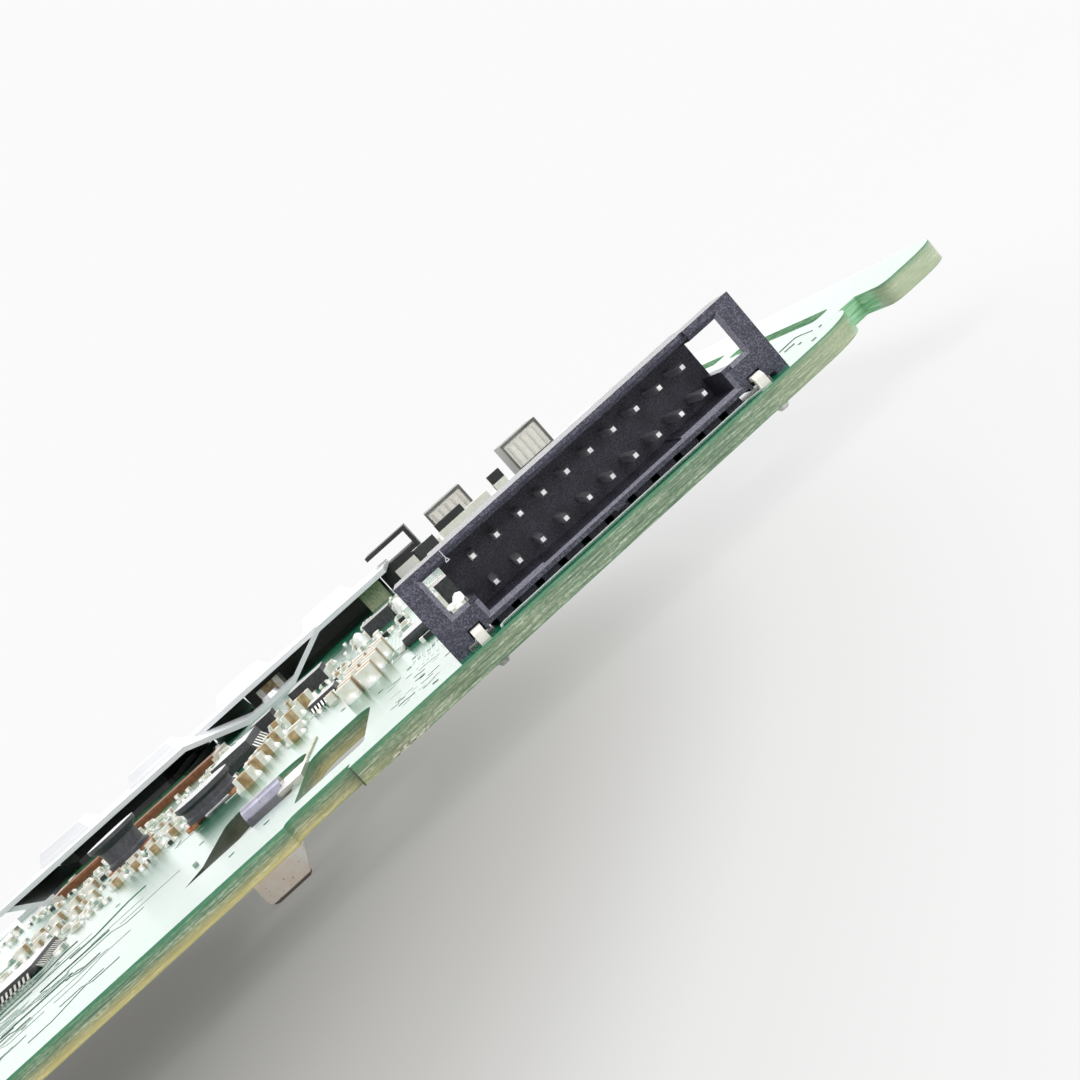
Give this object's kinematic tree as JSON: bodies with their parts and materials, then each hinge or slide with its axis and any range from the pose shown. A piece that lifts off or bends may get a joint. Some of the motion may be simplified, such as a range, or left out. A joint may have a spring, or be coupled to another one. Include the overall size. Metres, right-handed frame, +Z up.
{
  "type": "television main board",
  "caption": "Green printed circuit board with a black right-angle shrouded power header, a ground clip, a pressed heat spreader, chips, inductors and signal sockets",
  "frame": {"origin": "centre of the four mounting holes, on the underside of the board", "axes": "+X to the right along the near edge, +Y from the power header towards the signal sockets, +Z up out of the component side"},
  "size_m": [0.1507, 0.141, 0.0128],
  "materials": {
    "solder_mask": "satin green lacquer over a tan glass laminate",
    "tin_plate": "matt tin",
    "solder": "dull solder",
    "shroud_plastic": "fine spark-eroded texture",
    "pin_tin": "bright tin",
    "clip_tin": "tinned sheet with a warm tint and fine dark specks",
    "spreader_sheet": "plain rolled sheet",
    "rivet_metal": "turned",
    "thermal_pad": "soft matt pad",
    "substrate": "matt green",
    "cap_metal": "plain",
    "package_black": "matt moulding compound",
    "lead_metal": "bright tin",
    "ferrite": "matt ferrite with a grey rim",
    "copper_terminal": "bare copper",
    "moulded_black": "pressed powder",
    "terminal_tin": "bright tin",
    "ceramic_brown": "matt ceramic",
    "chip_end_tin": "bright tin",
    "resistor_black": "glazed",
    "connector_ivory": "plain moulding",
    "flap_brown": "plain moulding",
    "shell_metal": "dark plated sheet",
    "core_plastic": "pale moulding",
    "contact_metal": "plated strip",
    "jack_black": "plain moulding"
  },
  "bodies": {
    "root": {"board": "solder_mask", "mounting_pads": "tin_plate", "solder_joints": "solder", "header_housing": "shroud_plastic", "header_lower_pins": "pin_tin", "header_upper_pins": "pin_tin", "header_tabs": "tin_plate", "ground_clip": "clip_tin", "heat_spreader": "spreader_sheet", "spreader_rivets": "rivet_metal", "thermal_pads": "thermal_pad", "processor_substrate": "substrate", "processor_cap": "cap_metal", "controller_chip": "package_black", "controller_leads": "lead_metal", "interface_chip": "package_black", "interface_leads": "lead_metal", "supply_chip": "package_black", "supply_leads": "lead_metal", "flash_chip": "package_black", "flash_leads": "lead_metal", "drum_inductors": "ferrite", "drum_terminals": "copper_terminal", "moulded_inductors": "moulded_black", "moulded_terminals": "terminal_tin", "capacitor_bodies": "ceramic_brown", "capacitor_ends": "chip_end_tin", "resistor_bodies": "resistor_black", "resistor_ends": "chip_end_tin", "cable_connector_body": "connector_ivory", "cable_connector_flap": "flap_brown", "cable_contacts": "lead_metal", "socket_shells": "shell_metal", "socket_cores": "core_plastic", "socket_contacts": "contact_metal", "jack_shield": "shell_metal", "jack_base": "jack_black", "jack_insert": "core_plastic", "latch_connector_bodies": "connector_ivory", "latch_connector_bars": "jack_black"}
  },
  "joints": []
}
